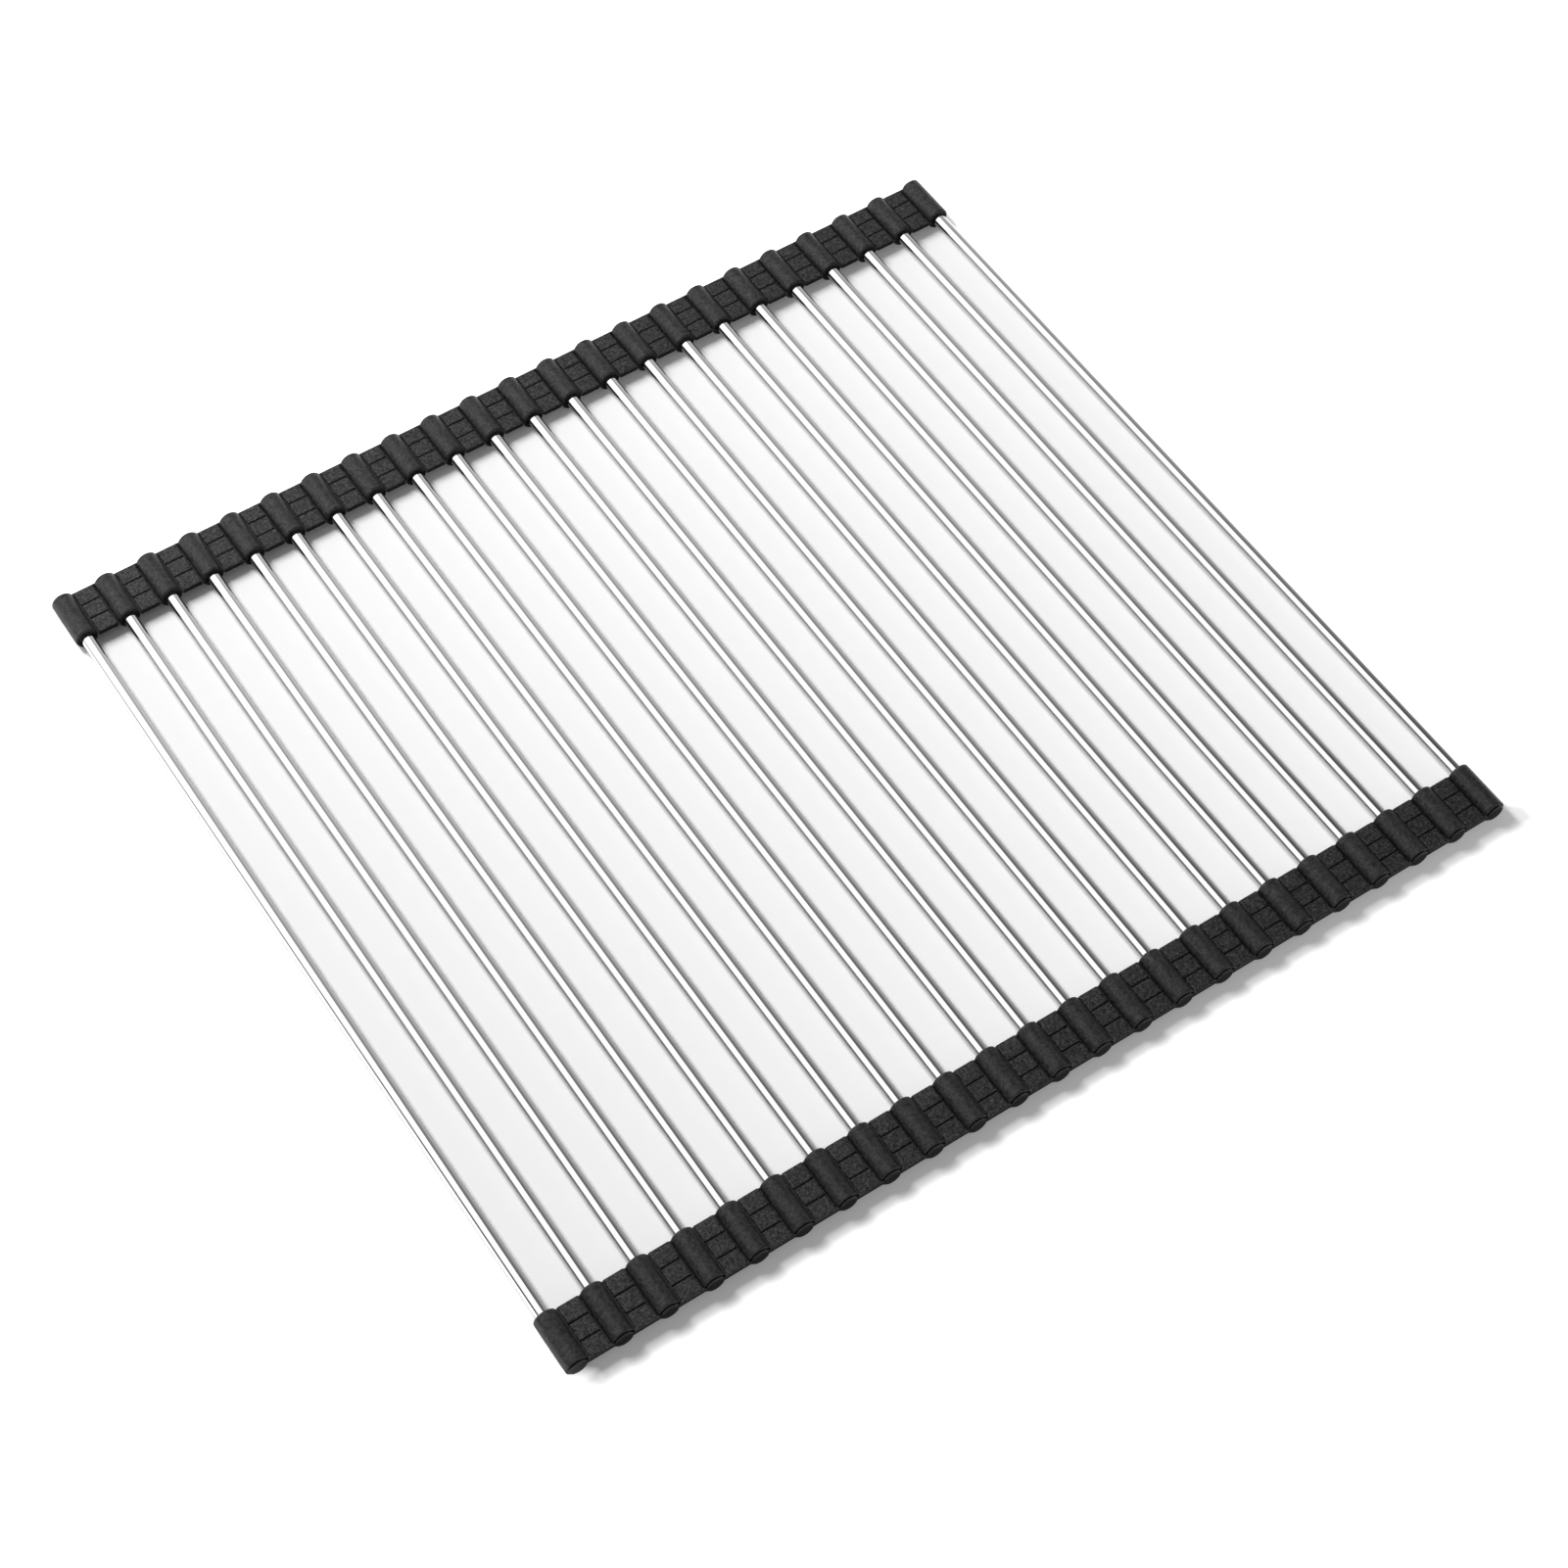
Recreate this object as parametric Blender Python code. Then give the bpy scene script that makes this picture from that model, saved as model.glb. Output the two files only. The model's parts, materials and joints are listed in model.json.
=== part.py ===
"""Roll up dish drying rack: steel tubes whose ends sit in two flexible silicone strips.

The tubes run along Y and stand side by side along X, one pitch apart. Each strip is cut
into segments, and a far segment, a near segment and the tubes between them make one link.
A link folds up against the next one about the upper surface of the web between them, so
that the whole rack rolls up from its +X end. The first links, which make the outer turn of
the roll, hold two tubes each, and the others hold one.
The origin is on the table, under the middle of the rack.
"""
import math

import bmesh
import bpy
from mathutils import Matrix, Vector

# Driving dimensions in metres
PITCH = 0.020                 # from one tube to the next
TUBE_DIAMETER = 0.006
TUBE_WALL = 0.00045
TUBE_SHOWING = 0.3708         # length of tube between the two strips
STRIP_WIDTH = 0.0246          # of one strip, along the tubes
END_WALL = 0.0035             # silicone beyond the end of a tube
SOCKET_WALL = 0.0019          # silicone around a tube
REST_FLAT = 0.0034            # width of the flat foot under a socket
WEB_THICKNESS = 0.0026        # of the flat pad between two sockets
PAD_GROOVE_WIDTH = 0.0008
PAD_GROOVE_DEPTH = 0.0005
PAD_GROOVE_INSET = 0.0003     # from a pad groove's end to the socket
END_CHAMFER = 0.0012          # on the outer end of a socket
FIT_GAP = 0.0003              # between a tube and the silicone around it
SEAM_GAP = 0.0003             # between two segments of a strip at rest
SHARP_ANGLE = math.radians(30)
ROUNDING = 0.000001           # within which two heights count as the same

# Counts
TUBE_COUNT = 23
PAIRED_LINKS = 5              # links with two tubes, from the -X end
TABLE_LINK = 5                # the link that stays on the table when the rack is rolled
PAD_GROOVES = 2               # across each pad, dividing it in three
TUBE_SIDES = 16
SOCKET_TOP_SIDES = 8
SOCKET_BOTTOM_SIDES = 3       # from a web to the foot, on each side

# Sizes that follow from these
TUBE_RADIUS = TUBE_DIAMETER / 2
BORE_RADIUS = TUBE_RADIUS + FIT_GAP
SOCKET_RADIUS = BORE_RADIUS + SOCKET_WALL
AXIS_HEIGHT = math.sqrt(SOCKET_RADIUS ** 2 - (REST_FLAT / 2) ** 2)
WEB_TOP = WEB_THICKNESS / 2
BORE_DEPTH = STRIP_WIDTH - END_WALL
TUBE_LENGTH = TUBE_SHOWING + 2 * (BORE_DEPTH - FIT_GAP)
STRIP_INNER = TUBE_SHOWING / 2
STRIP_OUTER = STRIP_INNER + STRIP_WIDTH
WEB_ROOT = math.sqrt(SOCKET_RADIUS ** 2 - WEB_TOP ** 2)
LINK_TUBES = [2] * PAIRED_LINKS + [1] * (TUBE_COUNT - 2 * PAIRED_LINKS)


def clear_scene():
    """Remove whatever the scene holds."""
    for old in list(bpy.data.objects):
        bpy.data.objects.remove(old, do_unlink=True)


def make_material(name, colour, roughness, metallic):
    """One Principled material."""
    material = bpy.data.materials.new(name)
    material.use_nodes = True
    shader = material.node_tree.nodes["Principled BSDF"]
    shader.inputs["Base Color"].default_value = (*colour, 1.0)
    shader.inputs["Roughness"].default_value = roughness
    shader.inputs["Metallic"].default_value = metallic
    return material


def arc(radius, start, end, sides):
    """Points on a round stretch of the profile, both ends included."""
    angles = [start + (end - start) * i / sides for i in range(sides + 1)]
    return [(radius * math.cos(a), radius * math.sin(a)) for a in angles]


def socket_places(tubes):
    """Where the sockets of one link stand along X, from its middle."""
    return [(i - (tubes - 1) / 2) * PITCH for i in range(tubes)]


def segment_profile(tubes, web_left, web_right):
    """Outline of a strip segment across its tubes, as (x, z, socket) points.

    It runs from the right web over the sockets to the left web, and back under the sockets
    along their flat feet. socket is the middle of the socket that a point belongs to, and
    None on a web. An end segment has no web on its outer side.
    """
    web_angle = math.asin(WEB_TOP / SOCKET_RADIUS)
    foot_angle = math.asin(AXIS_HEIGHT / SOCKET_RADIUS)
    web_end = (tubes * PITCH - SEAM_GAP) / 2
    over = arc(SOCKET_RADIUS, web_angle, math.pi - web_angle, SOCKET_TOP_SIDES)
    down = arc(SOCKET_RADIUS, math.pi + web_angle, math.pi + foot_angle, SOCKET_BOTTOM_SIDES)
    up = arc(SOCKET_RADIUS, -foot_angle, -web_angle, SOCKET_BOTTOM_SIDES)
    outline = []
    if web_right:
        outline += [(web_end, -WEB_TOP, None), (web_end, WEB_TOP, None)]
    for middle in reversed(socket_places(tubes)):
        outline += [(middle + x, z, middle) for x, z in over]
    if web_left:
        outline += [(-web_end, WEB_TOP, None), (-web_end, -WEB_TOP, None)]
    for middle in socket_places(tubes):
        outline += [(middle + x, z, middle) for x, z in down + up]
    return outline


def end_point(x, z, socket):
    """A point of the outline on the chamfered outer end, drawn in towards its tube."""
    if socket is None or abs(z) <= WEB_TOP + ROUNDING:
        return x, z
    shrink = (SOCKET_RADIUS - END_CHAMFER) / SOCKET_RADIUS
    return socket + (x - socket) * shrink, z * shrink


def add_segment_body(mesh, side, tubes, web_left, web_right):
    """The outer shape of one segment of the far (+1) or near (-1) strip."""
    outline = segment_profile(tubes, web_left, web_right)
    full = [(x, z) for x, z, socket in outline]
    drawn_in = [end_point(*point) for point in outline]
    stations = [
        (STRIP_INNER, full),
        (STRIP_OUTER - END_CHAMFER, full),
        (STRIP_OUTER, drawn_in),
    ]
    rings = []
    for y, points in stations:
        rings.append([mesh.verts.new((x, side * y, z)) for x, z in points])
    count = len(outline)
    for ring, following in zip(rings, rings[1:]):
        for i in range(count):
            j = (i + 1) % count
            mesh.faces.new((ring[i], ring[j], following[j], following[i]))
    mesh.faces.new(rings[0])
    mesh.faces.new(rings[-1])


def add_bore(mesh, side, x):
    """The round space of a blind bore, running out past the mouth of its socket."""
    length = BORE_DEPTH + END_WALL
    middle = side * (STRIP_INNER + BORE_DEPTH - length / 2)
    place = Matrix.Translation((x, middle, 0)) @ Matrix.Rotation(math.pi / 2, 4, "X")
    bmesh.ops.create_cone(
        mesh, cap_ends=True, segments=TUBE_SIDES, radius1=BORE_RADIUS,
        radius2=BORE_RADIUS, depth=length, matrix=place)


def add_pad_groove(mesh, y, start, end, face):
    """The space of one V groove along X, on a pad's upper (+1) or lower (-1) face.

    Its sides run on above the pad for as far as the groove is deep, so there it is twice
    as wide as at the surface.
    """
    corners = [
        (y - PAD_GROOVE_WIDTH, WEB_TOP + PAD_GROOVE_DEPTH),
        (y + PAD_GROOVE_WIDTH, WEB_TOP + PAD_GROOVE_DEPTH),
        (y, WEB_TOP - PAD_GROOVE_DEPTH),
    ]
    first = [mesh.verts.new((start, cy, face * cz)) for cy, cz in corners]
    last = [mesh.verts.new((end, cy, face * cz)) for cy, cz in corners]
    mesh.faces.new(first)
    mesh.faces.new(last)
    for i in range(3):
        j = (i + 1) % 3
        mesh.faces.new((first[i], first[j], last[j], last[i]))


def pad_spans(tubes, web_left, web_right):
    """Where the pad grooves of a segment start and end along X, one span for each pad."""
    clear = WEB_ROOT + PAD_GROOVE_INSET
    past_seam = tubes * PITCH / 2 + PAD_GROOVE_INSET
    places = socket_places(tubes)
    spans = [(a + clear, b - clear) for a, b in zip(places, places[1:])]
    if web_left:
        spans.append((-past_seam, places[0] - clear))
    if web_right:
        spans.append((places[-1] + clear, past_seam))
    return spans


def add_cutters(mesh, side, tubes, web_left, web_right):
    """Everything that is cut out of one segment."""
    for x in socket_places(tubes):
        add_bore(mesh, side, x)
    for number in range(1, PAD_GROOVES + 1):
        y = side * (STRIP_INNER + STRIP_WIDTH * number / (PAD_GROOVES + 1))
        for start, end in pad_spans(tubes, web_left, web_right):
            for face in (1, -1):
                add_pad_groove(mesh, y, start, end, face)


def finish_mesh(mesh, name):
    """Turn a bmesh into a mesh whose faces point out and whose round parts are smooth."""
    bmesh.ops.recalc_face_normals(mesh, faces=mesh.faces)
    data = bpy.data.meshes.new(name)
    mesh.to_mesh(data)
    mesh.free()
    data.shade_smooth()
    data.set_sharp_from_angle(angle=SHARP_ANGLE)
    return data


def segment_mesh(name, material, side, tubes, web_left, web_right):
    """One segment of a strip, with its bores and grooves cut."""
    body = bmesh.new()
    cutters = bmesh.new()
    add_segment_body(body, side, tubes, web_left, web_right)
    add_cutters(cutters, side, tubes, web_left, web_right)
    blank = bpy.data.objects.new(name + "_blank", finish_mesh(body, name + "_blank"))
    cutter = bpy.data.objects.new(name + "_cutter", finish_mesh(cutters, name + "_cutter"))
    for item in (blank, cutter):
        bpy.context.collection.objects.link(item)
    cut = blank.modifiers.new("bores_and_grooves", "BOOLEAN")
    cut.operation = "DIFFERENCE"
    cut.solver = "EXACT"
    cut.object = cutter
    evaluated = blank.evaluated_get(bpy.context.evaluated_depsgraph_get())
    data = bpy.data.meshes.new_from_object(evaluated)
    data.name = name
    data.materials.clear()
    data.materials.append(material)
    bpy.data.objects.remove(blank, do_unlink=True)
    bpy.data.objects.remove(cutter, do_unlink=True)
    return data


def tube_mesh(material):
    """A straight thin-walled tube, open at both ends."""
    mesh = bmesh.new()
    half = TUBE_LENGTH / 2
    radii = (TUBE_RADIUS, TUBE_RADIUS, TUBE_RADIUS - TUBE_WALL, TUBE_RADIUS - TUBE_WALL)
    ends = (-half, half, half, -half)
    rings = []
    for radius, y in zip(radii, ends):
        ring = []
        for i in range(TUBE_SIDES):
            angle = 2 * math.pi * i / TUBE_SIDES
            ring.append(mesh.verts.new((radius * math.sin(angle), y, radius * math.cos(angle))))
        rings.append(ring)
    for ring, following in zip(rings, rings[1:] + rings[:1]):
        for i in range(TUBE_SIDES):
            j = (i + 1) % TUBE_SIDES
            mesh.faces.new((ring[i], ring[j], following[j], following[i]))
    data = finish_mesh(mesh, "tube")
    data.materials.append(material)
    return data


def link_middles():
    """Where the middle of each link stands along X, by link number."""
    middles = {}
    edge = -TUBE_COUNT * PITCH / 2
    for number, tubes in enumerate(LINK_TUBES, start=1):
        middles[number] = edge + tubes * PITCH / 2
        edge += tubes * PITCH
    return middles


def put(item, place, parent):
    """Parent an item and give it the location that leaves it at a place in the world."""
    bpy.context.collection.objects.link(item)
    item.parent = parent
    origin = parent["place"] if parent else (0, 0, 0)
    item.location = Vector(place) - Vector(origin)
    item["place"] = place
    return item


def add_hinge(number, x, parent):
    """The empty on the axis of one fold, at the upper surface of its web."""
    return put(bpy.data.objects.new(f"fold_{number:02d}", None),
               (x, 0, AXIS_HEIGHT + WEB_TOP), parent)


def add_carriers(middles):
    """The empties that carry the links, chained from the table link to both ends."""
    table = bpy.data.objects.new("table_link", None)
    carriers = {TABLE_LINK: put(table, (middles[TABLE_LINK], 0, 0), None)}
    for number in range(TABLE_LINK + 1, len(LINK_TUBES) + 1):
        x = middles[number] - LINK_TUBES[number - 1] * PITCH / 2
        carriers[number] = add_hinge(number - 1, x, carriers[number - 1])
    for number in range(TABLE_LINK - 1, 0, -1):
        x = middles[number] + LINK_TUBES[number - 1] * PITCH / 2
        carriers[number] = add_hinge(number, x, carriers[number + 1])
    return carriers


def add_strip_segments(middles, carriers, silicone):
    """The segments of both strips. Segments of one shape share their mesh."""
    shapes = {}
    for strip, side in (("far", 1), ("near", -1)):
        for number, tubes in enumerate(LINK_TUBES, start=1):
            webs = (number > 1, number < len(LINK_TUBES))
            key = (side, tubes, *webs)
            if key not in shapes:
                shapes[key] = segment_mesh(f"{strip}_segment", silicone, *key)
            segment = bpy.data.objects.new(f"{strip}_strip_{number:02d}", shapes[key])
            put(segment, (middles[number], 0, AXIS_HEIGHT), carriers[number])


def add_tubes(middles, carriers, steel):
    """The tubes, numbered from the -X end."""
    data = tube_mesh(steel)
    tube_number = 1
    for number, tubes in enumerate(LINK_TUBES, start=1):
        for offset in socket_places(tubes):
            tube = bpy.data.objects.new(f"tube_{tube_number:02d}", data)
            put(tube, (middles[number] + offset, 0, AXIS_HEIGHT), carriers[number])
            tube_number += 1


def build():
    """The whole rack, as a tree of links that fold about the upper face of their webs."""
    clear_scene()
    steel = make_material("polished_steel", (0.78, 0.78, 0.79), 0.16, 1.0)
    silicone = make_material("black_silicone", (0.045, 0.045, 0.048), 0.55, 0.0)
    middles = link_middles()
    carriers = add_carriers(middles)
    add_strip_segments(middles, carriers, silicone)
    add_tubes(middles, carriers, steel)


build()
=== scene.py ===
"""Looks of the roll up dish drying rack: polished tubes in two strips of black silicone.

Every size that the rack itself has is read from the frame. The values below are what the
looks add to it: rounded edges, creases, grooves, finishes, camera and light. X runs across
the tubes, Y along them and Z up, all in metres, with the table at Z 0.
"""
import json
import math

import bpy
import numpy as np
from mathutils import Matrix, Vector


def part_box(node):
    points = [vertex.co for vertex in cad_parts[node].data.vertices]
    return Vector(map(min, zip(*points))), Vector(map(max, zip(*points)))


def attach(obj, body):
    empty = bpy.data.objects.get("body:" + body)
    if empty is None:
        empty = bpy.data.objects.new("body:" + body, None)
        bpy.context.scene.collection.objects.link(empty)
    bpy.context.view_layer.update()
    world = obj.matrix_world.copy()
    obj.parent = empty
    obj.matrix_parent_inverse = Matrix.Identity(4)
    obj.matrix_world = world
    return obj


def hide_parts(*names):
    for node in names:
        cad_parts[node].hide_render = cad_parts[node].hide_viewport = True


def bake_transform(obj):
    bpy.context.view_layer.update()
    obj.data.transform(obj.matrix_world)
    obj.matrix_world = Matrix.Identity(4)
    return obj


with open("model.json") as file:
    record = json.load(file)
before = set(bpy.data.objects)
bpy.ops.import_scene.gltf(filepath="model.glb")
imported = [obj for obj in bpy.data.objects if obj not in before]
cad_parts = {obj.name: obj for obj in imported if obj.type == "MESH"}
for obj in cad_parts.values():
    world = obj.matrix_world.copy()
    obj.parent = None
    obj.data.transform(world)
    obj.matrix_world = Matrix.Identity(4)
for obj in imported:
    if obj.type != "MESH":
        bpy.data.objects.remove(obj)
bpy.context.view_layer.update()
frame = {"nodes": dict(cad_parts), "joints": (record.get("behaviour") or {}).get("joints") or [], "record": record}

# The rack's own sizes, from the frame
TUBE_NODES = sorted(name for name in frame["nodes"] if name.startswith("tube_"))
NODE_BODY = {
    node: body
    for body, nodes in frame["record"]["behaviour"]["bodies"].items()
    for node in nodes
}
TUBE_LOW, TUBE_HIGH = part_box(TUBE_NODES[0])
TUBE_RADIUS = (TUBE_HIGH.z - TUBE_LOW.z) / 2
TUBE_END = TUBE_HIGH.y
AXIS_HEIGHT = (TUBE_HIGH.z + TUBE_LOW.z) / 2
STRIP_LOW, STRIP_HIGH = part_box("far_strip_01")
STRIP_INNER = STRIP_LOW.y
STRIP_OUTER = STRIP_HIGH.y
SOCKET_RADIUS = STRIP_HIGH.z - AXIS_HEIGHT
FOLD_HEIGHT = frame["joints"][0]["pos_m"][2]
WEB_HALF = FOLD_HEIGHT - AXIS_HEIGHT
TUBE_X = [(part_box(node)[0].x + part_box(node)[1].x) / 2 for node in TUBE_NODES]
SOCKET_HALF_WIDTH = TUBE_X[0] - STRIP_LOW.x
PITCH = TUBE_X[1] - TUBE_X[0]

# Tubes
TUBE_SIDES = 72
TUBE_RINGS = 13               # along the stretch between the strips
TUBE_WALL = 0.00045
TUBE_EDGE = 0.00012           # rounding of the cut ends
TUBE_EDGE_STEPS = 3

# Sockets
SOCKET_SIDES = 56
SOCKET_RINGS = 8              # along the straight part
ROUNDING_STEPS = 6
SOCKET_FIT = 0.00004          # from a tube to the silicone that grips it
BORE_END_GAP = 0.0003         # between a tube's end and the bottom of its bore
BORE_START = 0.003            # where the bore's first ring lies, from the mouth's face
MOUTH_ROUNDING = 0.0010
MOUTH_LIP = 0.0004            # rounding where the mouth's face turns into the bore
MOUTH_LIP_STEPS = 4
STRAIGHT_FROM = 0.0012        # where the straight part's rings start, from the shoulder
STRAIGHT_TO = 0.0008          # where they stop, from the mouth's rounding
SHOULDER_FROM_END = 0.0010    # where a socket steps down to its narrower end
SHOULDER_ROUNDING = 0.00045
CREASE_DEPTH = 0.00045        # of the groove where the narrower end begins
CREASE_OUTER = 0.00015        # from the shoulder to the groove's outer side
CREASE_INNER = 0.0002         # from the shoulder to its inner side
END_RADIUS = 0.0041
END_ROUNDING = 0.0006
END_DOME = 0.0001             # how far the outer end bulges
POLE = 0.02                   # radius of the ring that a fan closes, as a share
DOME_RINGS = (POLE, 0.35, 0.7)

# Webs between the sockets
WEB_TUCK = 0.0038             # where a web ends inside a socket, from the tube's axis
WEB_SHORT = 0.0003            # how far its outer edge lies inside the sockets' ends
PAD_START = 0.00545           # where its pad starts, from the tube's axis
PAD_POINTS = 30               # along the pad, enough for it to bend
PAD_ROUNDING = 0.0005
PAD_ROUNDING_STEPS = 4
GUTTER_DEPTH = 0.0009         # of the groove between a pad and its sockets
GUTTER_STEP = 0.00005         # from the pad's end to the groove's first point
RIM_WIDTH = 0.0010            # of the strip's outer edge, which no gutter cuts
RIM_FADE = 0.0004             # over which a gutter rises to the rim
EDGE_ROUNDING = 0.0004        # of the strip's long edges
EDGE_ROUNDING_STEPS = 5
EDGE_STOP = 0.45              # height of the points on the edges' faces, as a share
CROSS_GROOVES = 2
CROSS_HALF_WIDTH = 0.00048
CROSS_DEPTH = 0.00095
CROSS_STOPS = (-1.3, -1, -0.7, -0.35, 0, 0.35, 0.7, 1, 1.3)  # points, in half widths

# Steel's finish
STEEL_COLOUR = (0.62, 0.62, 0.63, 1)
STEEL_ROUGHNESS = (0.05, 0.08)
DRAW_LINES = (1400, 9, 1400)  # for each metre across, along and up
DRAW_LINE_DETAIL = 3.0
STEEL_RELIEF = (0.02, 0.00003)  # strength and depth

# Silicone's finish
SILICONE_COLOUR = (0.0203, 0.0203, 0.0210)
SILICONE_SHINE = 0.325
SILICONE_ROUGHNESS = (0.43, 0.50)
SILICONE_RELIEF = (0.45, 0.00010)  # strength and depth
GRAIN = (1700.0, 2.0)         # scale and detail
MOTTLE = (650.0, 3.0)
GRAIN_COLOUR = (0.35, 1.85)   # what the colour is multiplied by, from the least to the most
MOTTLE_COLOUR = (0.55, 1.58)
MOTTLE_SHINE = (0.80, 1.22)   # the same for the shine
PAD_GRAIN = 0.8               # how much stronger the grain is on the webs, as a share
PAD_GLOSS = 0.40              # how much of the grain shows in the webs' shine
SPECKS_PER_METRE = 300.0      # places for a speck
SPECKLESS = 0.75              # share of the places that have none
SPECK_EDGE = (0.05, 0.10)     # where a speck fades, as a share of the places' spacing
SPECK_LEVEL = 3.0             # what it adds, in times the silicone's colour
SIDE_SHADE_FROM = (0.0, 0.5)        # painted shade: how level a face is where the sides' shade is deepest and where it ends
SHADED_SIDE_LEVEL = 0.16             # painted shade: how bright and shiny the sides are painted, where a level face is 1
NOISE_SPREAD = (0.3, 0.7)     # where most of a noise's values lie


def grid_mesh(name, points, material, wrap_u=False, cap=False):
    """A mesh over a grid of points, one quad for each cell, faces outwards.

    points has the shape (u, v, 3). The grid closes on itself along v, and along u when
    wrap_u is set. With cap set, each open end along u is closed by a fan around its middle.
    """
    count_u, count_v = points.shape[:2]
    index = np.arange(count_u * count_v).reshape(count_u, count_v)
    rows = np.arange(count_u if wrap_u else count_u - 1)
    u, v = np.meshgrid(rows, np.arange(count_v), indexing="ij")
    next_u, next_v = (u + 1) % count_u, (v + 1) % count_v
    quads = np.stack(
        [index[u, v], index[next_u, v], index[next_u, next_v], index[u, next_v]], axis=-1)
    faces = quads.reshape(-1, 4).tolist()
    vertices = points.reshape(-1, 3)
    if cap:
        middles = np.stack([points[0].mean(axis=0), points[-1].mean(axis=0)])
        first, last = len(vertices), len(vertices) + 1
        vertices = np.concatenate([vertices, middles])
        following = np.roll(np.arange(count_v), -1)
        faces += np.stack(
            [np.full(count_v, first), index[0], index[0][following]], axis=-1).tolist()
        faces += np.stack(
            [np.full(count_v, last), index[-1][following], index[-1]], axis=-1).tolist()
    mesh = bpy.data.meshes.new(name)
    mesh.from_pydata(vertices.tolist(), [], faces)
    mesh.shade_smooth()
    mesh.materials.append(material)
    piece = bpy.data.objects.new(name, mesh)
    bpy.context.scene.collection.objects.link(piece)
    return piece


def keep_values(piece, name, values):
    """Keeps one value for each of a piece's points, which its material can read."""
    piece.data.attributes.new(name, "FLOAT", "POINT").data.foreach_set("value", values)


def mark_levels(piece):
    """Keeps how level each point's surface lies while the rack is flat, from 0 to 1, which the silicone's painted
    side shade reads.
    """
    normals = np.empty(3 * len(piece.data.vertices), dtype=np.float32)
    piece.data.vertex_normals.foreach_get("vector", normals)
    keep_values(piece, "level", np.abs(normals.reshape(-1, 3)[:, 2]))


def mark_pad(web):
    """Marks all of a web's points, so that its grain can be bolder than the sockets'."""
    keep_values(web, "pad", np.ones(len(web.data.vertices), dtype=np.float32))


def rounded(centre, radius, start, end, steps=ROUNDING_STEPS):
    """Points of an arc in a profile: the centre plus the radius at evenly spaced angles."""
    angles = np.linspace(math.radians(start), math.radians(end), steps + 1)
    return [(centre[0] + radius * math.cos(a), centre[1] + radius * math.sin(a)) for a in angles]


def turned(profile, x, sides):
    """A profile of (radius, y) points carried round a tube's axis.

    At angle t from straight up, a point lies at X = x + radius sin t, and at the height of
    the axis plus radius cos t.
    """
    radius, y = np.array(profile).T
    angle = np.linspace(0, 2 * math.pi, sides, endpoint=False)
    across = radius[:, None] * np.sin(angle)[None, :]
    up = radius[:, None] * np.cos(angle)[None, :]
    along = np.broadcast_to(y[:, None], across.shape)
    return np.stack([x + across, along, AXIS_HEIGHT + up], axis=-1)


def make_tube(number, x, material):
    """A straight drawn tube: its wall's outline, with rounded corners, turned about its axis."""
    outer, inner = TUBE_RADIUS, TUBE_RADIUS - TUBE_WALL
    edge, end = TUBE_EDGE, TUBE_END
    profile = [(inner + edge, -end), (outer - edge, -end)]
    profile += rounded((outer - edge, -end + edge), edge, -90, 0, TUBE_EDGE_STEPS)[1:]
    profile += [(outer, y) for y in np.linspace(-STRIP_INNER, STRIP_INNER, TUBE_RINGS)]
    profile += rounded((outer - edge, end - edge), edge, 0, 90, TUBE_EDGE_STEPS)
    profile += rounded((inner + edge, end - edge), edge, 90, 180, TUBE_EDGE_STEPS)
    profile += rounded((inner + edge, -end + edge), edge, 180, 270, TUBE_EDGE_STEPS)[:-1]
    points = turned(profile, x, TUBE_SIDES)
    return grid_mesh(f"steel_tube_{number:02d}", points, material, wrap_u=True)


def socket_profile():
    """A socket's outline from the middle of its outer end to the bottom of its bore.

    Points are (radius, distance from the rack's middle). The outer end is a narrower disc,
    which falls from its middle by the dome times the square of the share of its radius. A
    groove runs round its root, and a rounded shoulder leads from there to the full width.
    Then come the straight part, the mouth's rounding and face, its lip, and the bore.
    """
    radius, bore = SOCKET_RADIUS, TUBE_RADIUS + SOCKET_FIT
    flat, low_end = END_RADIUS - END_ROUNDING, STRIP_OUTER - END_DOME
    shoulder = STRIP_OUTER - SHOULDER_FROM_END
    profile = [(flat * share, STRIP_OUTER - END_DOME * share ** 2) for share in DOME_RINGS]
    profile += rounded((flat, low_end - END_ROUNDING), END_ROUNDING, 90, 0)
    crease = END_RADIUS - CREASE_DEPTH
    profile += [(crease, shoulder + CREASE_OUTER), (crease, shoulder - CREASE_INNER)]
    corner = (radius - SHOULDER_ROUNDING, shoulder - SHOULDER_ROUNDING)
    profile += rounded(corner, SHOULDER_ROUNDING, 90, 0)
    inner = STRIP_INNER + MOUTH_ROUNDING
    straight = np.linspace(shoulder - STRAIGHT_FROM, inner + STRAIGHT_TO, SOCKET_RINGS)
    profile += [(radius, y) for y in straight]
    profile += rounded((radius - MOUTH_ROUNDING, inner), MOUTH_ROUNDING, 0, -90)
    lip = (bore + MOUTH_LIP, STRIP_INNER + MOUTH_LIP)
    profile += rounded(lip, MOUTH_LIP, 270, 180, MOUTH_LIP_STEPS)
    bottom = TUBE_END + BORE_END_GAP
    profile += [(bore, STRIP_INNER + BORE_START), (bore, bottom), (bore * POLE, bottom)]
    return profile


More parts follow.
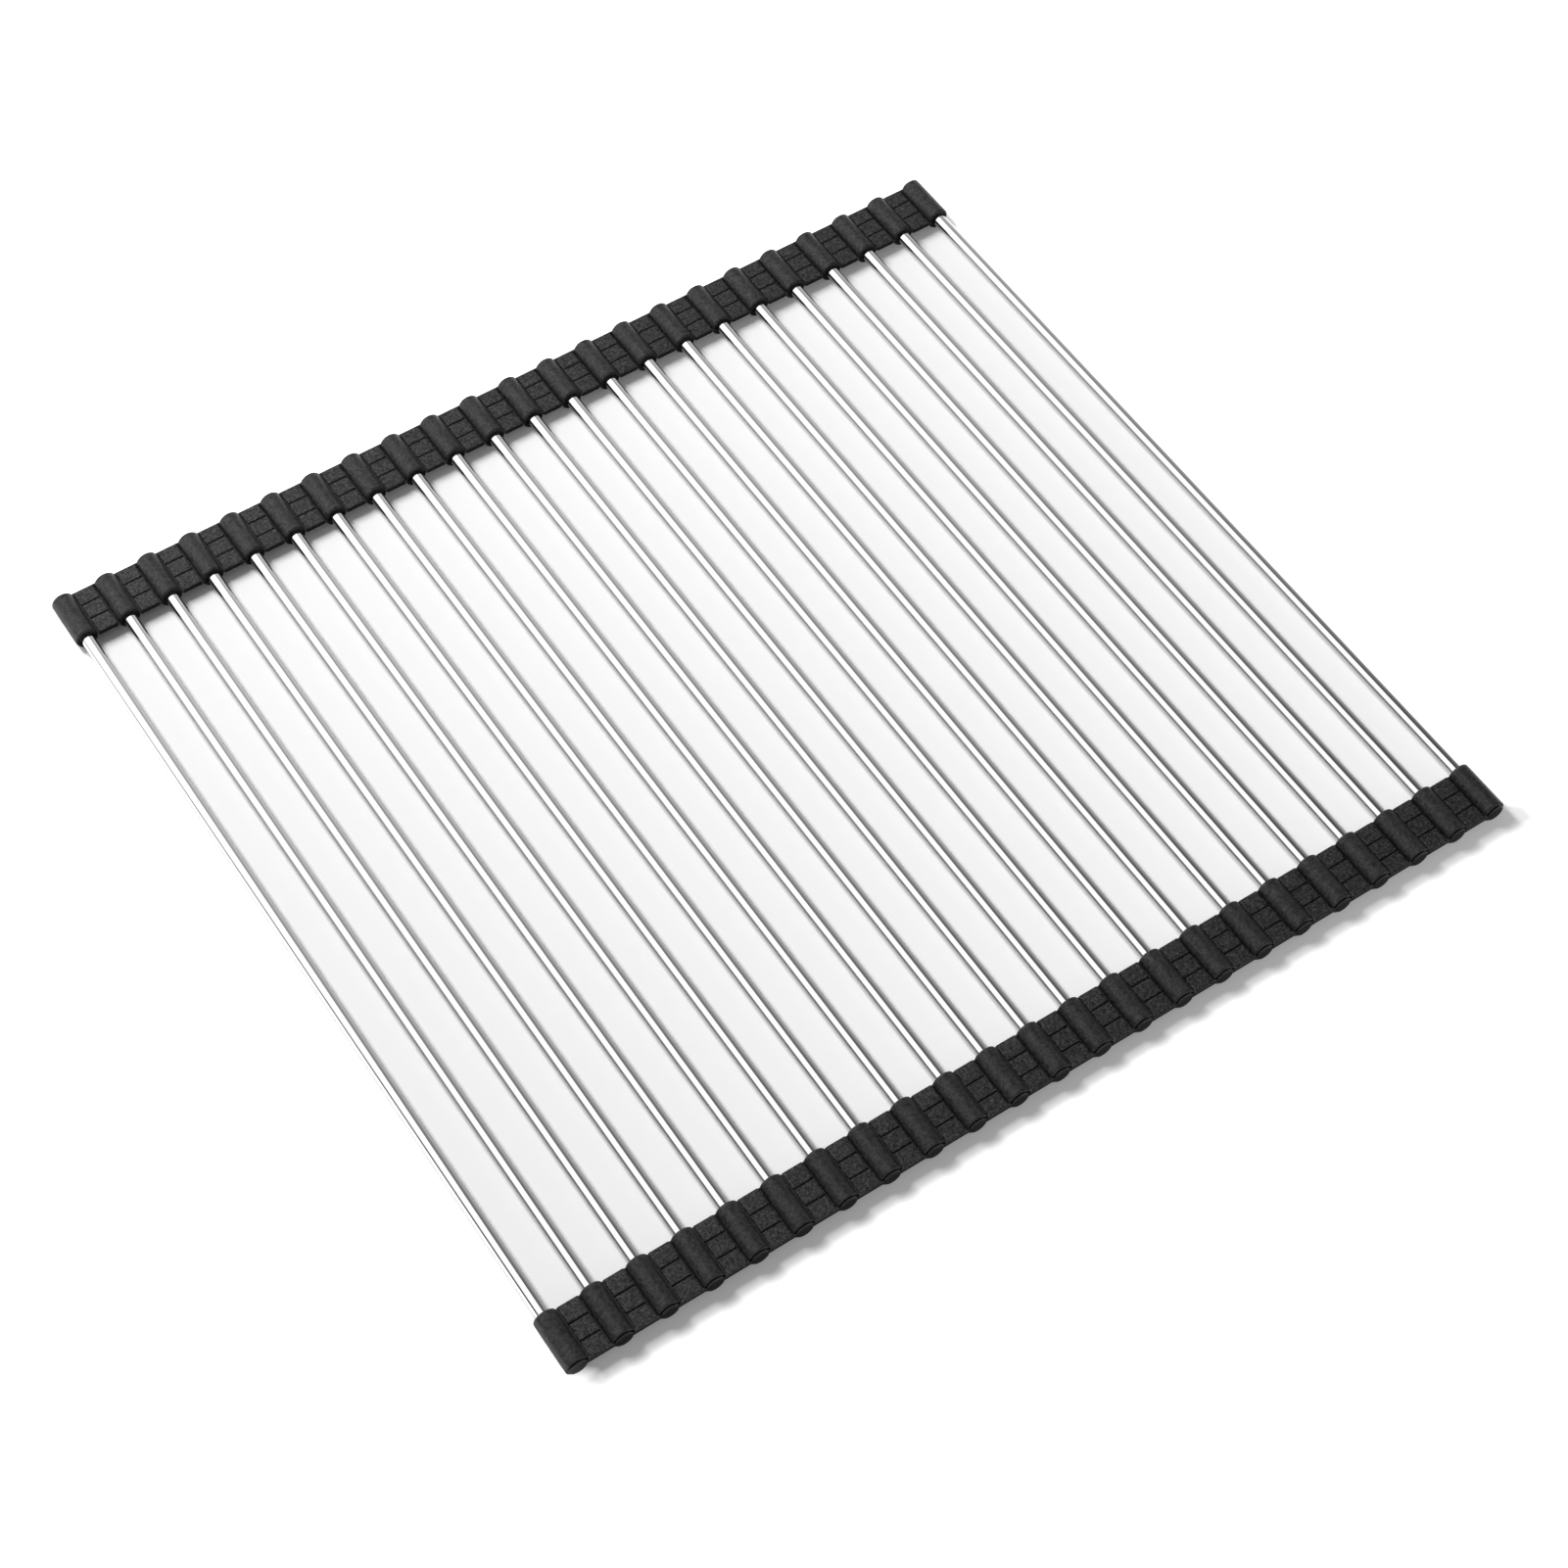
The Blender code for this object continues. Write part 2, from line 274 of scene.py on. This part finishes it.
def make_socket(strip, number, x, side, material):
    """A socket: its profile turned about the tube, narrowed a little and cut flat below.

    X is scaled by 1 at the bore and by the half width over the radius at the full radius,
    in a straight line between them. Where a ring would reach below the table it is cut flat
    at the table, which makes the foot.
    """
    points = turned(socket_profile(), 0.0, SOCKET_SIDES)
    bore = TUBE_RADIUS + SOCKET_FIT
    ring = np.hypot(points[..., 0], points[..., 2] - AXIS_HEIGHT)
    outward = np.clip((ring - bore) / (SOCKET_RADIUS - bore), 0, 1)
    points[..., 0] *= 1 - (1 - SOCKET_HALF_WIDTH / SOCKET_RADIUS) * outward
    points[..., 2] = np.maximum(points[..., 2], 0)
    points[..., 0] += x
    points[..., 1] *= side
    if side > 0:
        points = points[:, ::-1]
    return grid_mesh(f"{strip}_socket_{number:02d}", points, material, cap=True)


def web_stations():
    """Places along a web from its middle, close together over the pad's rounded ends.

    Over a rounded end they lie at the sine of evenly spaced angles up to 90 degrees.
    """
    half = PITCH / 2
    pad_end, tuck = half - PAD_START, half - WEB_TUCK
    pad = np.linspace(-(pad_end - PAD_ROUNDING), pad_end - PAD_ROUNDING, PAD_POINTS)
    turn = np.linspace(0, math.pi / 2, PAD_ROUNDING_STEPS + 1)[1:]
    end = pad_end - PAD_ROUNDING * (1 - np.sin(turn))
    gutter = np.array([pad_end + GUTTER_STEP, tuck])
    right = np.concatenate([end, gutter])
    return np.concatenate([-right[::-1], pad, right])


def gutter_share(place):
    """How deep a web lies at a place: 0 on the pad, a quarter round down to 1 at each of its ends."""
    pad_end = PITCH / 2 - PAD_START
    past = np.clip((np.abs(place) - (pad_end - PAD_ROUNDING)) / PAD_ROUNDING, 0, 1)
    return 1 - np.sqrt(1 - past ** 2)


def groove_middles():
    """Y of the cross grooves' middles, which divide a strip's width in equal parts."""
    width = STRIP_OUTER - STRIP_INNER
    numbers = range(1, CROSS_GROOVES + 1)
    return [STRIP_INNER + width * number / (CROSS_GROOVES + 1) for number in numbers]


def cross_section():
    """Once round a strip's section, as y, height as a share of the half thickness and rounding.

    It runs over the upper face from the inner to the outer edge and back below. The
    last value is how far a point is drawn in from the face at the edges' rounding.
    """
    inner, outer = STRIP_INNER, STRIP_OUTER - WEB_SHORT
    part = (STRIP_OUTER - STRIP_INNER) / (CROSS_GROOVES + 1)
    stops = [inner + EDGE_ROUNDING]
    for middle in groove_middles():
        stops += list(middle + CROSS_HALF_WIDTH * np.array(CROSS_STOPS))
        stops += [middle + part / 2]
    stops = stops[:-1] + [outer - RIM_WIDTH - RIM_FADE, outer - RIM_WIDTH, outer - EDGE_ROUNDING]
    face = [(y, 1.0, 0.0) for y in stops]
    turn = np.radians(np.linspace(90, 0, EDGE_ROUNDING_STEPS + 1))[1:-1]
    edge = [
        (outer - EDGE_ROUNDING * (1 - math.cos(a)), 1.0, EDGE_ROUNDING * (1 - math.sin(a)))
        for a in turn
    ]
    first = [(inner + outer - y, sign, drop) for y, sign, drop in edge][::-1]
    upper = first + face + edge
    side_out = [(outer, share, 0.0) for share in (EDGE_STOP, -EDGE_STOP)]
    side_in = [(inner, share, 0.0) for share in (-EDGE_STOP, EDGE_STOP)]
    lower = [(y, -1.0, drop) for y, _, drop in upper[::-1]]
    return np.array(upper + side_out + lower + side_in)


def make_web(strip, number, middle, side, material):
    """A web: a strip's rounded section carried from socket to socket.

    Height is the half thickness less the gutter at that place, drawn in at the long edges
    and in the cross grooves. The gutter stops short of the outer edge. A cross groove's
    depth falls in a straight line from its middle to its sides, and fades out where the pad
    ends.
    """
    place = web_stations()
    gutter = gutter_share(place)
    y, share, drop = cross_section().T
    open_part = np.clip((STRIP_OUTER - WEB_SHORT - RIM_WIDTH - y) / RIM_FADE, 0, 1)
    half = WEB_HALF - GUTTER_DEPTH * gutter[:, None] * open_part[None, :]
    depth = np.zeros_like(y)
    for centre in groove_middles():
        inside = np.clip(1 - np.abs(y - centre) / CROSS_HALF_WIDTH, 0, 1)
        depth = np.maximum(depth, CROSS_DEPTH * inside)
    sunk = drop[None, :] + depth[None, :] * (1 - gutter)[:, None]
    up = share[None, :] * half - np.sign(share)[None, :] * np.where(np.abs(share) == 1, sunk, 0)
    points = np.stack([
        np.broadcast_to(middle + place[:, None], up.shape),
        np.broadcast_to(side * y[None, :], up.shape),
        AXIS_HEIGHT + up], axis=-1)
    if side < 0:
        points = points[:, ::-1]
    return grid_mesh(f"{strip}_web_{number:02d}", points, material, cap=True)


def math_node(tree, operation, *terms):
    """The result of one sum, whose terms are numbers or other nodes' results."""
    node = tree.nodes.new("ShaderNodeMath")
    node.operation = operation
    for socket, term in zip(node.inputs, terms):
        if isinstance(term, (int, float)):
            socket.default_value = term
        else:
            tree.links.new(term, socket)
    return node.outputs[0]


def kept_within(tree, value, least, most):
    """A value kept from going below least and above most."""
    return math_node(tree, "MINIMUM", math_node(tree, "MAXIMUM", value, least), most)


def bolder(tree, value, boldness):
    """A value whose distance from 1 is multiplied by boldness, kept from going below 0."""
    off = math_node(tree, "SUBTRACT", value, 1.0)
    return math_node(tree, "MAXIMUM", math_node(tree, "MULTIPLY_ADD", off, boldness, 1.0), 0.0)


def ranged(tree, value, low, high, start=NOISE_SPREAD[0], end=NOISE_SPREAD[1]):
    """A value taken from start..end to low..high."""
    node = tree.nodes.new("ShaderNodeMapRange")
    for name, number in (("From Min", start), ("From Max", end), ("To Min", low), ("To Max", high)):
        node.inputs[name].default_value = number
    tree.links.new(value, node.inputs["Value"])
    return node.outputs["Result"]


def own_value(tree, name):
    """What a piece's points keep under a name, or 0 on a piece that keeps nothing there."""
    node = tree.nodes.new("ShaderNodeAttribute")
    node.attribute_name = name
    return node.outputs["Fac"]


def place_parts(tree, kind):
    """X, Y and Z of a kind of coordinates, such as Object."""
    where = tree.nodes.new("ShaderNodeTexCoord")
    parts = tree.nodes.new("ShaderNodeSeparateXYZ")
    tree.links.new(where.outputs[kind], parts.inputs["Vector"])
    return parts.outputs["X"], parts.outputs["Y"], parts.outputs["Z"]


def stretched_noise(tree, scale, detail, stretch=(1, 1, 1)):
    """Noise on Object coordinates, with the coordinates multiplied by stretch."""
    where = tree.nodes.new("ShaderNodeTexCoord")
    mapping = tree.nodes.new("ShaderNodeMapping")
    mapping.inputs["Scale"].default_value = stretch
    noise = tree.nodes.new("ShaderNodeTexNoise")
    noise.inputs["Scale"].default_value = scale
    noise.inputs["Detail"].default_value = detail
    tree.links.new(where.outputs["Object"], mapping.inputs["Vector"])
    tree.links.new(mapping.outputs["Vector"], noise.inputs["Vector"])
    return noise.outputs["Fac"]


def bump(tree, value, shader, strength, distance):
    """Relief from a value, on the shader's normal."""
    node = tree.nodes.new("ShaderNodeBump")
    node.inputs["Strength"].default_value = strength
    node.inputs["Distance"].default_value = distance
    tree.links.new(value, node.inputs["Height"])
    tree.links.new(node.outputs["Normal"], shader.inputs["Normal"])


def new_material(name):
    """An empty Principled material: its node tree and its shader."""
    material = bpy.data.materials.new(name)
    material.use_nodes = True
    return material, material.node_tree, material.node_tree.nodes["Principled BSDF"]


def polished_steel():
    """Bright stainless tube with faint draw lines along it and a slightly uneven polish."""
    material, tree, shader = new_material("polished_steel")
    shader.inputs["Base Color"].default_value = STEEL_COLOUR
    shader.inputs["Metallic"].default_value = 1.0
    lines = stretched_noise(tree, 1.0, DRAW_LINE_DETAIL, DRAW_LINES)
    tree.links.new(ranged(tree, lines, *STEEL_ROUGHNESS), shader.inputs["Roughness"])
    bump(tree, lines, shader, *STEEL_RELIEF)
    return material


def pale_specks(tree):
    """1 in small specks strewn over the surface, 0 between them, with a soft edge."""
    where = tree.nodes.new("ShaderNodeTexCoord")
    places = tree.nodes.new("ShaderNodeTexVoronoi")
    places.inputs["Scale"].default_value = SPECKS_PER_METRE
    tree.links.new(where.outputs["Object"], places.inputs["Vector"])
    chance = tree.nodes.new("ShaderNodeSeparateXYZ")
    tree.links.new(places.outputs["Color"], chance.inputs["Vector"])
    speck = ranged(tree, places.outputs["Distance"], 1.0, 0.0, *SPECK_EDGE)
    chosen = math_node(tree, "GREATER_THAN", chance.outputs["X"], SPECKLESS)
    return math_node(tree, "MULTIPLY", speck, chosen)


def black_silicone():
    """Matte black silicone: a fine grain, mottling, a few pale specks and painted shade on the sides.

    The sides are painted darker and less shiny than the upper and lower faces, as shade that falls on them. The
    grain is bolder on the webs, and shows in their shine too.
    """
    material, tree, shader = new_material("black_silicone")
    grain = stretched_noise(tree, *GRAIN)
    mottle = stretched_noise(tree, *MOTTLE)
    # painted shade: 1 on level faces, down to the shaded sides' level on steep faces
    side_shade = ranged(tree, own_value(tree, "level"), SHADED_SIDE_LEVEL, 1.0, *SIDE_SHADE_FROM)
    speck = pale_specks(tree)
    pad = own_value(tree, "pad")
    fine = ranged(tree, grain, *GRAIN_COLOUR)
    bold = bolder(tree, fine, math_node(tree, "MULTIPLY_ADD", pad, PAD_GRAIN, 1.0))
    uneven = math_node(tree, "MULTIPLY", bold, ranged(tree, mottle, *MOTTLE_COLOUR))
    colour = tree.nodes.new("ShaderNodeVectorMath")
    colour.operation = "SCALE"
    colour.inputs[0].default_value = SILICONE_COLOUR
    speckled = math_node(tree, "MULTIPLY_ADD", speck, SPECK_LEVEL, uneven)
    tree.links.new(math_node(tree, "MULTIPLY", speckled, side_shade), colour.inputs["Scale"])
    tree.links.new(colour.outputs["Vector"], shader.inputs["Base Color"])
    tree.links.new(ranged(tree, mottle, *SILICONE_ROUGHNESS), shader.inputs["Roughness"])
    glossy = bolder(tree, fine, math_node(tree, "MULTIPLY", pad, PAD_GLOSS))
    patchy = math_node(tree, "MULTIPLY", ranged(tree, mottle, *MOTTLE_SHINE), glossy)
    shine = math_node(tree, "MULTIPLY", patchy, SILICONE_SHINE)
    # the painted side shade takes shine off the sides too
    tree.links.new(math_node(tree, "MULTIPLY", side_shade, shine), shader.inputs["Specular IOR Level"])
    bump(tree, grain, shader, *SILICONE_RELIEF)
    return material


def dress(steel, silicone):
    """Every piece of the rack, each riding on its link or bending between two of them."""
    for number, (node, x) in enumerate(zip(TUBE_NODES, TUBE_X), start=1):
        tube = make_tube(number, x, steel)
        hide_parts(node)
        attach(tube, NODE_BODY[node])
    for strip, side in (("far", 1), ("near", -1)):
        for number, (node, x) in enumerate(zip(TUBE_NODES, TUBE_X), start=1):
            body = NODE_BODY[node]
            socket = make_socket(strip, number, x, side, silicone)
            mark_levels(socket)
            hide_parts(body.replace("link", strip + "_strip"))
            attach(socket, body)
        for number, (left, right) in enumerate(zip(TUBE_NODES, TUBE_NODES[1:]), start=1):
            middle = (TUBE_X[number - 1] + TUBE_X[number]) / 2
            web = make_web(strip, number, middle, side, silicone)
            mark_levels(web)
            mark_pad(web)
            if NODE_BODY[left] == NODE_BODY[right]:
                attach(web, NODE_BODY[left])
            else:
                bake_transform(web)


# Camera, in the photograph's place
CAMERA_PLACE = (-0.42476, -0.63796, 1.09910)
CAMERA_HEADING = math.radians(-34.3146)
CAMERA_TILT = math.radians(33.5957)
CAMERA_ROLL = math.radians(0.7864)
CAMERA_LENS = 73.433          # in millimetres, as the sensor's width is
CAMERA_SENSOR = 36


def add_camera():
    """The camera first looks straight down. It rolls, tilts up from there and turns to its heading."""
    data = bpy.data.cameras.new("camera")
    data.lens = CAMERA_LENS
    data.sensor_width = CAMERA_SENSOR
    camera = bpy.data.objects.new("camera", data)
    bpy.context.scene.collection.objects.link(camera)
    turn = (Matrix.Rotation(CAMERA_HEADING, 4, "Z") @ Matrix.Rotation(CAMERA_TILT, 4, "X")
            @ Matrix.Rotation(CAMERA_ROLL, 4, "Z"))
    camera.matrix_world = Matrix.Translation(CAMERA_PLACE) @ turn
    bpy.context.scene.camera = camera


# Lamps, of which reflections show only the side panel, and only the key light lights the rack
KEY_DIRECTION = Vector((-0.38, 0.78, 1.0))
KEY_DISTANCE = 1.6
KEY_SIZE = (0.30, 0.75)
KEY_POWER = 23.0
SIDE_DIRECTION = Vector((-0.43, 0.53, 0.73))
SIDE_DISTANCE = 1.67
SIDE_SIZE = (1.45, 2.3)
SIDE_POWER = 15.9


def add_lamp(name, direction, distance, size, power, along):
    """A rectangular soft light at a distance along a direction, facing the rack.

    Its first side runs as near along the given vector as its facing allows.
    """
    data = bpy.data.lights.new(name, "AREA")
    data.shape = "RECTANGLE"
    data.size, data.size_y = size
    data.energy = power
    lamp = bpy.data.objects.new(name, data)
    bpy.context.scene.collection.objects.link(lamp)
    back = direction.normalized()
    lamp.location = back * distance
    right = (along - along.dot(back) * back).normalized()
    up = back.cross(right)
    lamp.rotation_euler = Matrix((right, up, back)).transposed().to_euler()
    return lamp


# Surround, whose brightness in reflections add_world works out from the MIRRORED values
FILL_STRENGTH = 0.17          # how brightly it lights the rack and the table
MIRRORED_MIDDLE = 0.35
MIRRORED_ALONG = 1.55
MIRRORED_UP = -0.8
MIRRORED_LEFT = 0.75
MIRRORED_RIGHT = -0.25
MIRRORED_LEAST = 0.10


def looked_at(tree):
    """1 where the camera, a reflection or a view through glass looks, 0 elsewhere, and its node."""
    path = tree.nodes.new("ShaderNodeLightPath")
    seen = math_node(tree, "MAXIMUM", path.outputs["Is Camera Ray"], path.outputs["Is Glossy Ray"])
    return math_node(tree, "MAXIMUM", seen, path.outputs["Is Transmission Ray"]), path


def add_world():
    """A surround that the camera sees white, that reflections show uneven, and that lights dimly.

    In reflections its brightness is MIRRORED_MIDDLE, plus MIRRORED_ALONG times the size of
    the direction's Y, plus MIRRORED_UP times its Z, plus MIRRORED_LEFT times its X where
    that is below 0 or MIRRORED_RIGHT times its X where that is above 0, kept from
    MIRRORED_LEAST to 1. It is brightest low down beyond the tubes' ends.
    """
    world = bpy.data.worlds.new("studio")
    bpy.context.scene.world = world
    world.use_nodes = True
    tree = world.node_tree
    background = tree.nodes["Background"]
    background.inputs["Color"].default_value = (1, 1, 1, 1)
    seen, path = looked_at(tree)
    x, y, z = place_parts(tree, "Generated")
    endwise = math_node(tree, "ABSOLUTE", y)
    level = math_node(tree, "MULTIPLY_ADD", endwise, MIRRORED_ALONG, MIRRORED_MIDDLE)
    level = math_node(tree, "MULTIPLY_ADD", z, MIRRORED_UP, level)
    left = math_node(tree, "MINIMUM", x, 0.0)
    level = math_node(tree, "MULTIPLY_ADD", left, MIRRORED_LEFT, level)
    right = math_node(tree, "MAXIMUM", x, 0.0)
    level = math_node(tree, "MULTIPLY_ADD", right, MIRRORED_RIGHT, level)
    bright = kept_within(tree, level, MIRRORED_LEAST, 1.0)
    shown = math_node(tree, "MAXIMUM", bright, path.outputs["Is Camera Ray"])
    rest = math_node(tree, "MULTIPLY", math_node(tree, "SUBTRACT", 1.0, seen), FILL_STRENGTH)
    strength = math_node(tree, "ADD", math_node(tree, "MULTIPLY", shown, seen), rest)
    tree.links.new(strength, background.inputs["Strength"])


# Table
TABLE_REACH = 4.0
TABLE_COLOUR = (0.90, 0.90, 0.905, 1)
TABLE_ROUGHNESS = 0.9
TABLE_SHINE = 0.1
GLOW_MIDDLE = 0.145           # under the rack's middle
GLOW_ACROSS = 0.27            # more for each metre along X
GLOW_ALONG = -0.38            # more for each metre along Y
GLOW_MOST = 0.4
GREY_X = (-0.2215, 0.2238)    # edges of the part that isn't plain white
GREY_Y = (-0.2165, 0.2075)
SHIFT_FROM = -0.203           # Y below which that part moves along X, for the last socket's shadow
SHIFT_MOST = 0.009
WHITE_WITHIN = 0.010          # how far outside that part the table is plain white


def table_glow(tree):
    """How much brighter the table looks than it is lit: a little by the rack, white around it.

    Below SHIFT_FROM the grey part moves along X by as much as Y is below that, up to
    SHIFT_MOST. Outside it the glow grows with the distance from it, to 1 at WHITE_WITHIN.
    """
    x, y, _ = place_parts(tree, "Object")
    shift = kept_within(tree, math_node(tree, "SUBTRACT", SHIFT_FROM, y), 0.0, SHIFT_MOST)
    shifted = math_node(tree, "SUBTRACT", x, shift)
    away = []
    for place, (low, high) in ((shifted, GREY_X), (y, GREY_Y)):
        past = math_node(tree, "MAXIMUM", math_node(tree, "SUBTRACT", low, place),
                         math_node(tree, "SUBTRACT", place, high))
        away.append(math_node(tree, "POWER", math_node(tree, "MAXIMUM", past, 0.0), 2.0))
    distance = math_node(tree, "SQRT", math_node(tree, "ADD", *away))
    around = ranged(tree, distance, 0.0, 1.0, 0.0, WHITE_WITHIN)
    level = math_node(tree, "MULTIPLY_ADD", x, GLOW_ACROSS, GLOW_MIDDLE)
    level = math_node(tree, "MULTIPLY_ADD", y, GLOW_ALONG, level)
    return math_node(tree, "ADD", around, kept_within(tree, level, 0.0, GLOW_MOST))


def add_table():
    """A pale matte table that turns white a little way from the rack."""
    mesh = bpy.data.meshes.new("table")
    reach = TABLE_REACH
    corners = [(-reach, -reach, 0), (reach, -reach, 0), (reach, reach, 0), (-reach, reach, 0)]
    mesh.from_pydata(corners, [], [(0, 1, 2, 3)])
    material, tree, shader = new_material("pale_table")
    shader.inputs["Base Color"].default_value = TABLE_COLOUR
    shader.inputs["Roughness"].default_value = TABLE_ROUGHNESS
    shader.inputs["Specular IOR Level"].default_value = TABLE_SHINE
    shader.inputs["Emission Color"].default_value = (1, 1, 1, 1)
    seen, _ = looked_at(tree)
    glow = math_node(tree, "MULTIPLY", table_glow(tree), seen)
    tree.links.new(glow, shader.inputs["Emission Strength"])
    mesh.materials.append(material)
    floor = bpy.data.objects.new("table", mesh)
    bpy.context.scene.collection.objects.link(floor)


dress(polished_steel(), black_silicone())
add_camera()
key = add_lamp("key_light", KEY_DIRECTION, KEY_DISTANCE, KEY_SIZE, KEY_POWER, Vector((1, 0, 0)))
key.visible_glossy = False
panel = add_lamp("side_panel", SIDE_DIRECTION, SIDE_DISTANCE, SIDE_SIZE, SIDE_POWER, Vector((0, 1, 0)))
panel.visible_diffuse = False
add_world()
add_table()
bpy.context.scene.view_settings.view_transform = "Standard"
